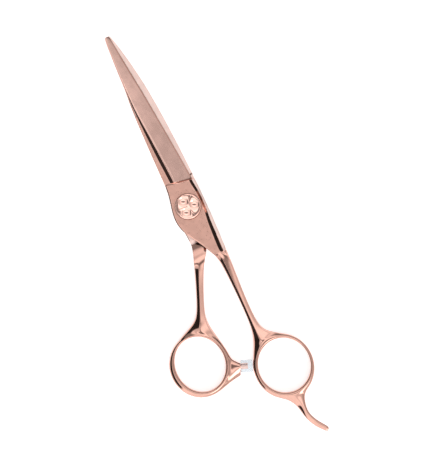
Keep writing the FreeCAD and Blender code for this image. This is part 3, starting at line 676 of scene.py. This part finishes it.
class SHEARS_OT_finger_half(bpy.types.Operator):
    """Model the finger half: ring with finger rest, shank, pivot flat with its rib, and ground blade"""

    bl_idname = "shears.finger_half"
    bl_label = "Finger Half"

    def execute(self, context):
        angles = [69 + 18 * step for step in range(20)]
        obj = ring_cage("forged_finger_half", (6.87, -68.1), (11.22, 12.3), (7.2, -67.8), (9.5, 10.05), angles,
                        RING_HALF_DEPTH)
        grow(obj, (4, 3, 2, 1, 0), finger_half_stations(), COLUMNS, (0.86, 0.97, 0.96))
        grow(obj, (10, 11, 12), tang_stations(), 2, (0.98,))
        finish_half(obj, False)
        seat(obj, DIAL_R + SEAT_CLEARANCE, DIAL_LOW - SEAT_DEPTH, DIAL_TOP + THROUGH)
        smooth(obj, 25)
        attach(obj, "still_half")
        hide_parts("finger_half")
        return {"FINISHED"}


class SHEARS_OT_thumb_half(bpy.types.Operator):
    """Model the thumb half: ring with its bumper boss, slanting shank, pivot flat and ground blade"""

    bl_idname = "shears.thumb_half"
    bl_label = "Thumb Half"

    def execute(self, context):
        angles = [73, 97.75, 122.5, 147.25, 172, 192, 212, 232, 252]
        angles += [252 + 181 / 9 * step for step in range(1, 9)]
        obj = ring_cage("forged_thumb_half", (20.9, -54.8), (11.45, 12.05), (20.65, -54.3), (9.1, 10.35), angles,
                        RING_HALF_DEPTH)
        grow(obj, (4, 3, 2, 1, 0), thumb_half_stations(), COLUMNS, (0.96, 0.97, 0.86))
        grow(obj, (5, 6, 7, 8), boss_stations(), 3, (0.86, 0.74))
        finish_half(obj, True)
        seat(obj, HEAD_R + HEAD_CLEARANCE, -THROUGH, HEAD_TOP)
        smooth(obj, 25)
        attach(obj, "moving_half")
        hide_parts("thumb_half")
        return {"FINISHED"}


class SHEARS_OT_tension_dial(bpy.types.Operator):
    """Model the click dial: a disc with a rolled rim, three dished finger wells and an open cavity below"""

    bl_idname = "shears.tension_dial"
    bl_label = "Tension Dial"

    def execute(self, context):
        sizes = context.scene.shears_sizes
        dial = round_bar("click_dial", DIAL_R, DIAL_LOW, DIAL_TOP, vertices=128)
        dish = (sizes.well_radius ** 2 + sizes.well_depth ** 2) / (2 * sizes.well_depth)
        for index in range(WELLS):
            turn = math.radians(FIRST_WELL + 360 / WELLS * index)
            nothing()
            place = (WELL_PITCH * math.cos(turn), WELL_PITCH * math.sin(turn), DIAL_TOP - sizes.well_depth + dish)
            bpy.ops.mesh.primitive_uv_sphere_add(segments=128, ring_count=96, radius=dish * MM,
                                                 location=[part * MM for part in place])
            carve(dial, settle(named("well_cutter")))
        carve(dial, round_bar("cavity_cutter", CAVITY_R, DIAL_LOW - 1, DIAL_LOW + CAVITY_DEPTH, vertices=96))
        apply_modifier(dial, "BEVEL", width=DIAL_ROLL * MM, segments=5, limit_method="ANGLE",
                       angle_limit=math.radians(45), use_clamp_overlap=True)
        recalculate(dial)
        smooth(dial, 30)
        dial.data.materials.append(finish("rose_dial"))
        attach(dial, "dial")
        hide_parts("tension_dial")
        return {"FINISHED"}


class SHEARS_OT_bumper(bpy.types.Operator):
    """Model the clear silicone bumper: a soft round block with rolled rims, hollow for its stud"""

    bl_idname = "shears.bumper"
    bl_label = "Bumper"

    def execute(self, context):
        low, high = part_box("bumper")
        middle = (Vector(low) + Vector(high)) / 2
        block = round_bar("silicone_bumper", BUMPER_R, -BUMPER_HALF, BUMPER_HALF, vertices=64)
        carve(block, round_bar("bore_cutter", BORE_R, -BUMPER_HALF - 0.8, BORE_END, vertices=32))
        apply_modifier(block, "BEVEL", width=BUMPER_ROLL * MM, segments=5, limit_method="ANGLE",
                       angle_limit=math.radians(60), use_clamp_overlap=True)
        turn = Matrix.Rotation(math.radians(BUMPER_TURN), 4, "Z") @ Matrix.Rotation(math.pi / 2, 4, "Y")
        block.data.transform(Matrix.Translation(middle) @ turn)
        recalculate(block)
        smooth(block, 40)
        block.data.materials.append(finish("clear_silicone"))
        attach(block, "moving_half")
        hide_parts("bumper")
        return {"FINISHED"}


# ---------------------------------------------------------------- finishes
FINISHES = {}


def finish(name):
    """One finish by name, made once."""
    if name not in FINISHES:
        FINISHES[name] = MAKERS[name](name)
    return FINISHES[name]


def shade(colour, share):
    """A colour made darker or lighter."""
    return tuple([part * share for part in colour[:3]] + [1.0])


PALE = 0.8  # the grey that a paler coating leans to


def coating(name, low, high, stretch=(1.0, 1.0, 1.0), grain=0.0, tone=1.0, cast=0.93, pale=0.0):
    """Rose gold over steel between two roughnesses, with a stretched grain where it is ground.

    tone scales its colour, cast the tone of its darker clouds, and pale leans it to grey.
    """
    rose = [part + pale * (PALE - part) for part in bpy.context.scene.shears_colours.rose]
    tree = Tree(bpy.data.materials.new(name))
    where = tree.place()
    cloud = tree.noise(where, 0.25, 2.0)
    tree.set(Base_Color=tree.mix(tree.fit(cloud, 0.35, 0.65), shade(rose, tone * cast), shade(rose, tone)))
    haze = tree.noise(where, 1.3, 5.0)
    scratch = tree.noise(tree.place(stretch), 3.0, 4.0)
    tree.set(Metallic=1.0, Roughness=tree.fit(haze * 0.6 + scratch * 0.4, 0.35, 0.65, low, high))
    fine = tree.noise(where, 0.5, 1.0)
    tree.set(Normal=tree.bump(scratch * grain + fine * 0.15, 0.12, 0.02 * MM))
    return tree.owner


def rose_polish(name):
    """Mirror polish of rings, shanks and ribs, its colour darkened by tone 0.8 as painted shade."""
    return coating(name, 0.06, 0.11, tone=0.8)


def rose_satin(name):
    """Fine blasted satin of the pivot flats and the strips."""
    return coating(name, 0.27, 0.34, tone=0.9)


def rose_bevel(name):
    """Polished cut of the bevel and the shoulders."""
    return coating(name, 0.05, 0.09)


def rose_ground(name):
    """Face of the blade, ground lengthwise."""
    return coating(name, 0.18, 0.26, stretch=(3.0, 0.06, 1.0), grain=0.3, cast=0.9, tone=0.92, pale=0.16)


def rose_inner(name):
    """Hollow-ground inner face, honed across, its colour made paler and brighter as a painted highlight."""
    return coating(name, 0.3, 0.36, stretch=(0.15, 3.0, 1.0), grain=0.1, tone=1.16, pale=0.42)


def rose_dial(name):
    """The dial, polished after turning, its colour made paler and brighter as a painted highlight."""
    return coating(name, 0.05, 0.09, tone=1.1, pale=0.12)


def clear_silicone(name):
    """Clear silicone with a faint blue cast."""
    silicone = tuple(bpy.context.scene.shears_colours.silicone)
    tree = Tree(bpy.data.materials.new(name))
    where = tree.place()
    cloud = tree.noise(where, 0.8, 3.0)
    tree.set(Base_Color=tree.mix(tree.fit(cloud, 0.35, 0.65), shade(silicone, 0.95), silicone),
             Roughness=tree.fit(cloud, 0.3, 0.7, 0.08, 0.2), IOR=1.41, Transmission_Weight=0.85)
    tree.set(Normal=tree.bump(cloud, 0.1, 0.05 * MM))
    return tree.owner


def bare_steel(name):
    """Fine ground steel of the hidden hardware."""
    steel = tuple(bpy.context.scene.shears_colours.steel)
    tree = Tree(bpy.data.materials.new(name))
    grain = tree.noise(tree.place((1, 1, 12)), 2.0, 3.0)
    tree.set(Base_Color=tree.mix(tree.fit(grain, 0.3, 0.7), shade(steel, 0.8), steel), Metallic=1.0,
             Roughness=tree.fit(grain, 0.3, 0.7, 0.22, 0.36))
    tree.set(Normal=tree.bump(grain, 0.2, 0.02 * MM))
    return tree.owner


def bronze(name):
    """Sintered bronze of the bush."""
    tree = Tree(bpy.data.materials.new(name))
    pores = tree.noise(tree.place(), 4.0, 4.0)
    tree.set(Base_Color=tree.mix(tree.fit(pores, 0.3, 0.7), (0.22, 0.12, 0.05, 1), (0.42, 0.25, 0.11, 1)),
             Metallic=1.0, Roughness=tree.fit(pores, 0.3, 0.7, 0.3, 0.5))
    tree.set(Normal=tree.bump(pores, 0.3, 0.03 * MM))
    return tree.owner


def acetal(name):
    """Off-white acetal of cage and washer."""
    tree = Tree(bpy.data.materials.new(name))
    cloud = tree.noise(tree.place(), 1.5, 3.0)
    tree.set(Base_Color=tree.mix(tree.fit(cloud, 0.3, 0.7), (0.62, 0.61, 0.57, 1), (0.78, 0.77, 0.73, 1)),
             Roughness=tree.fit(cloud, 0.3, 0.7, 0.4, 0.55))
    tree.set(Normal=tree.bump(cloud, 0.1, 0.02 * MM))
    return tree.owner


MAKERS = {
    "rose_polish": rose_polish,
    "rose_satin": rose_satin,
    "rose_bevel": rose_bevel,
    "rose_ground": rose_ground,
    "rose_inner": rose_inner,
    "rose_dial": rose_dial,
    "clear_silicone": clear_silicone,
    "bare_steel": bare_steel,
    "bronze": bronze,
    "acetal": acetal,
}
HARDWARE = {
    # the bolt and the stud take the dial's coating, made paler and brighter as a painted highlight
    "pivot_bolt": "rose_dial",
    "bumper_stud": "rose_dial",
    "lower_race": "bare_steel",
    "upper_race": "bare_steel",
    "bearing_balls": "bare_steel",
    "click_balls": "bare_steel",
    "click_springs": "bare_steel",
    "tension_spring": "bare_steel",
    "detent_plate": "bare_steel",
    "dial_nut": "bare_steel",
    "bearing_cage": "acetal",
    "dial_washer": "acetal",
    "pivot_bush": "bronze",
}


class SHEARS_OT_hardware(bpy.types.Operator):
    """Finish the pivot's bolt, bearing, tension and click pieces, and the bumper's stud"""

    bl_idname = "shears.hardware"
    bl_label = "Hardware"

    def execute(self, context):
        for name, coat in HARDWARE.items():
            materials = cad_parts[name].data.materials
            materials.clear()
            materials.append(finish(coat))
        return {"FINISHED"}


# the camera looks straight down, with the blades up and to the left; millimetres unless said
VIEW_UP = Vector((0.426, 0.905, 0)).normalized()
VIEW_RIGHT = Vector((0.905, -0.426, 0)).normalized()
VIEW_CENTRE = Vector((5.48, -13.76, 0))
VIEW_HEIGHT = 172.7
CAMERA_HEIGHT = 1.2  # metres
SENSOR_HEIGHT = 24.0
LOWEST = 0.03  # a direction nearer the horizon than this counts as this high


def studio_world():
    """A pale tent with a dim opening straight above, a dark card on the left, and dimmer panels above and right.

    across and along are how far a direction leans to the right and to the top, and reach how far it leans at all.
    """
    world = bpy.data.worlds.new("studio_tent")
    bpy.context.scene.world = world
    world.use_nodes = True
    tree = Tree(world, "Background")
    x, y, z = tree.axes(tree.node("ShaderNodeTexCoord", output=0))
    height = tree.node("ShaderNodeMath", {"operation": "MAXIMUM"}, {0: z, 1: LOWEST})
    across = (x * VIEW_RIGHT.x + y * VIEW_RIGHT.y) / height
    along = (x * VIEW_UP.x + y * VIEW_UP.y) / height
    reach = tree.node("ShaderNodeMath", {"operation": "POWER"}, {0: across * across + along * along, 1: 0.5})

    def band(value, low, high, edge=0.15):
        """One inside a soft-edged band, and zero outside it."""
        return tree.fit(value, low - edge, low + edge) * tree.fit(value, high - edge, high + edge, 1.0, 0.0)

    lens = band(across, -0.3, 0.3, 0.05) * band(along, -0.1, 0.1, 0.04)
    left = tree.node("ShaderNodeMath", {"operation": "MAXIMUM"}, {0: 0 - across, 1: 0.0})
    card = tree.fit(left, 0.56, 0.66) * tree.fit((along + left * 1.2) / reach, -0.08, 0.08)
    card = card * tree.fit((left * 1.5 - along) / reach, -0.1, 0.1)
    right = band(across, 0.62, 1.5)
    far_right = tree.fit(across, 1.7, 2.0)
    top_light = band(along, 0.45, 0.8, 0.08)
    far_top = tree.fit(along, 0.85, 1.0)
    below = tree.fit(along, -0.55, -0.35, 1.0, 0.0)
    low_right = below * tree.fit(across, 0.2, 0.4) * band(reach, 0.4, 1.2, 0.1)
    halo = band(reach, 0.16, 0.36, 0.06)
    light = 0.95 * (1 - 0.72 * lens) * (1 - 0.4 * right) * (1 - 0.6 * far_right)
    light = light * (1 + 0.35 * top_light) * (1 - 0.62 * far_top)
    light = light * (1 + 0.55 * below + 3.2 * low_right + 0.7 * halo) * (1 - 0.97 * card)
    tree.set(Color=(1.0, 0.99, 0.98, 1.0), Strength=light)


class SHEARS_OT_stage(bpy.types.Operator):
    """Set up the pale floor, the soft studio light and the camera"""

    bl_idname = "shears.stage"
    bl_label = "Stage"

    def execute(self, context):
        scene = context.scene
        scene.view_settings.view_transform = "Standard"
        nothing()
        bpy.ops.mesh.primitive_plane_add(size=3.0, location=(0, 0, 0))
        floor = named("studio_floor")
        tree = Tree(bpy.data.materials.new("floor_white"))
        tree.set(Base_Color=tuple(scene.shears_colours.floor), Roughness=0.9, Emission_Color=(1, 1, 1, 1),
                 Emission_Strength=0.6)
        floor.data.materials.append(tree.owner)
        studio_world()
        camera_data = bpy.data.cameras.new("camera")
        camera = bpy.data.objects.new("camera", camera_data)
        scene.collection.objects.link(camera)
        back = Vector((0, 0, 1))
        turn = Matrix((VIEW_RIGHT, VIEW_UP, back)).transposed().to_4x4()
        camera.matrix_world = Matrix.Translation(VIEW_CENTRE * MM + back * CAMERA_HEIGHT) @ turn
        camera_data.sensor_fit = "VERTICAL"
        camera_data.sensor_height = SENSOR_HEIGHT
        camera_data.lens = SENSOR_HEIGHT * CAMERA_HEIGHT / (VIEW_HEIGHT * MM)
        scene.camera = camera
        return {"FINISHED"}


class SHEARS_PT_panel(bpy.types.Panel):
    """Lists the pieces"""

    bl_label = "Hair Cutting Shears"
    bl_space_type = "VIEW_3D"
    bl_region_type = "UI"
    bl_category = "Shears"

    def draw(self, context):
        for operator in OPERATORS:
            self.layout.operator(operator.bl_idname)


OPERATORS = (SHEARS_OT_finger_half, SHEARS_OT_thumb_half, SHEARS_OT_tension_dial, SHEARS_OT_bumper,
             SHEARS_OT_hardware, SHEARS_OT_stage)
CLASSES = (ShearsSizes, ShearsColours) + OPERATORS + (SHEARS_PT_panel,)


def register():
    for cls in CLASSES:
        bpy.utils.register_class(cls)
    bpy.types.Scene.shears_sizes = bpy.props.PointerProperty(type=ShearsSizes)
    bpy.types.Scene.shears_colours = bpy.props.PointerProperty(type=ShearsColours)


def unregister():
    del bpy.types.Scene.shears_colours
    del bpy.types.Scene.shears_sizes
    for cls in reversed(CLASSES):
        bpy.utils.unregister_class(cls)


def main():
    register()
    bpy.ops.shears.finger_half()
    bpy.ops.shears.thumb_half()
    bpy.ops.shears.tension_dial()
    bpy.ops.shears.bumper()
    bpy.ops.shears.hardware()
    bpy.ops.shears.stage()


if __name__ == "__main__":
    main()
